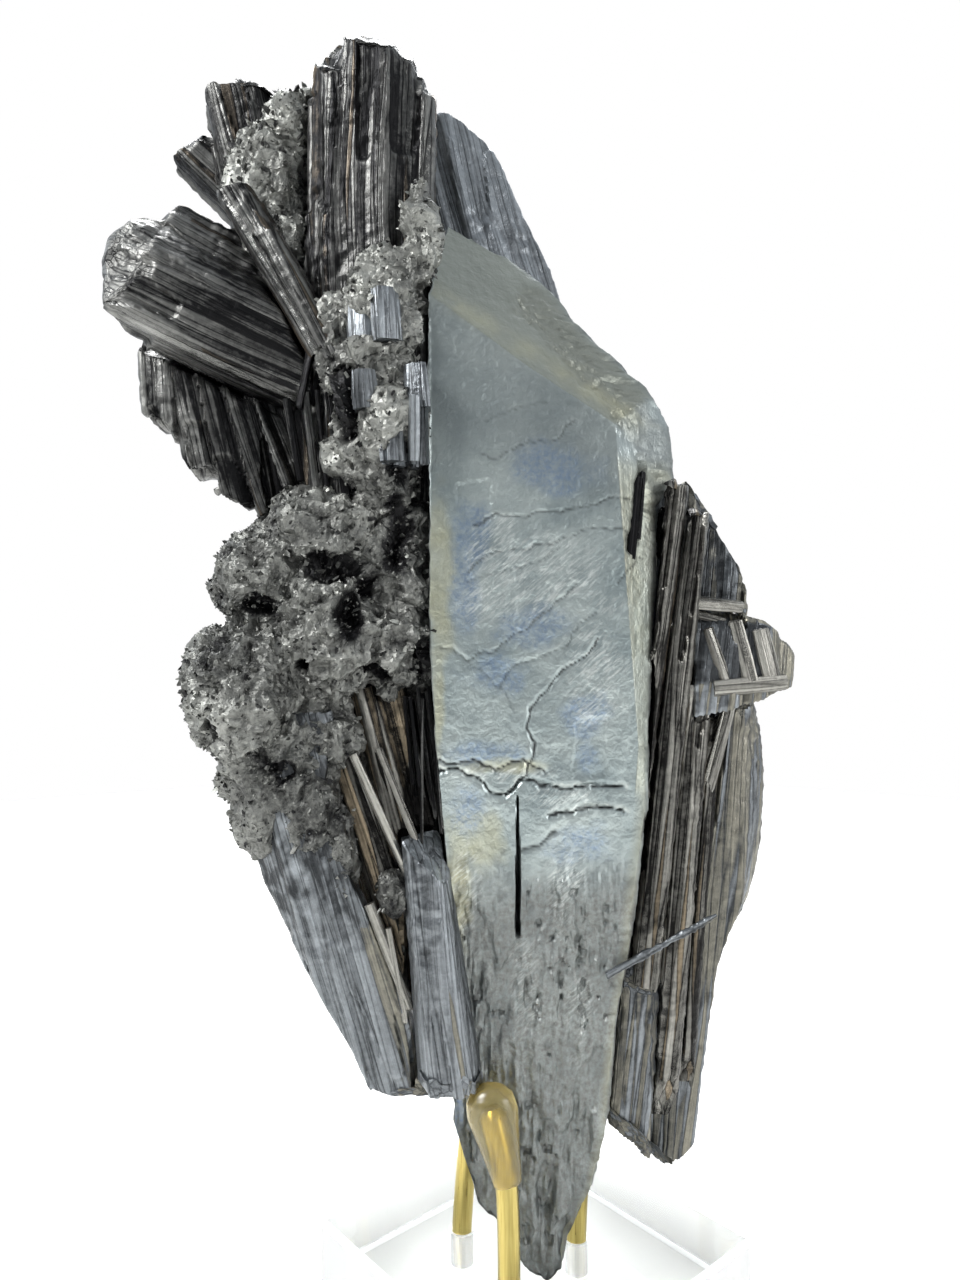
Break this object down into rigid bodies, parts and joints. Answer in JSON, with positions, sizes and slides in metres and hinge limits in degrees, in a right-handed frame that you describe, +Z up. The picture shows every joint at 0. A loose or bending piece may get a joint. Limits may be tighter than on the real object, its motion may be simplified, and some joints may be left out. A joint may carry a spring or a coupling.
{
  "type": "stibnite crystal cluster on stand",
  "caption": "Intergrown cluster of bladed metallic-grey stibnite crystals around one broad blade, held upright by padded brass rods in a clear acrylic block.",
  "frame": {"origin": "centre of the acrylic block's underside", "axes": "+Z up along the main crystal, -Y out of the main crystal's broad face"},
  "size_m": [0.1045, 0.0706, 0.2074],
  "materials": {
    "cleavage_face": "metallic cleavage face with blue and straw tarnish",
    "lead_grey": "striated metallic lead grey",
    "dark_grey": "dark striated metallic laths",
    "tarnished_laths": "brown and beige tarnished laths",
    "granular_crust": "granular sparkling crust",
    "acrylic": "polished clear acrylic",
    "brass": "drawn brass rod",
    "resin": "translucent yellow resin pad"
  },
  "bodies": {
    "root": {"main_blade": "cleavage_face", "top_right_crystal": "lead_grey", "crown_column": "dark_grey", "upper_left_crystals": "dark_grey", "upper_druse": "granular_crust", "left_arm": "dark_grey", "left_slivers": "dark_grey", "left_fan": "dark_grey", "lower_druse": "granular_crust", "lower_left_blade": "lead_grey", "lower_left_prism": "lead_grey", "inner_left_blades": "tarnished_laths", "right_blade_1": "tarnished_laths", "right_blade_2": "tarnished_laths", "right_blade_3": "tarnished_laths", "right_blade_4": "tarnished_laths", "right_back_crystal": "lead_grey", "right_stub": "lead_grey", "stray_needle": "lead_grey", "block": "acrylic", "rod_front": "brass", "rod_left": "brass", "rod_right": "brass", "pad_front": "resin", "pad_left": "resin", "pad_right": "resin"}
  },
  "joints": []
}
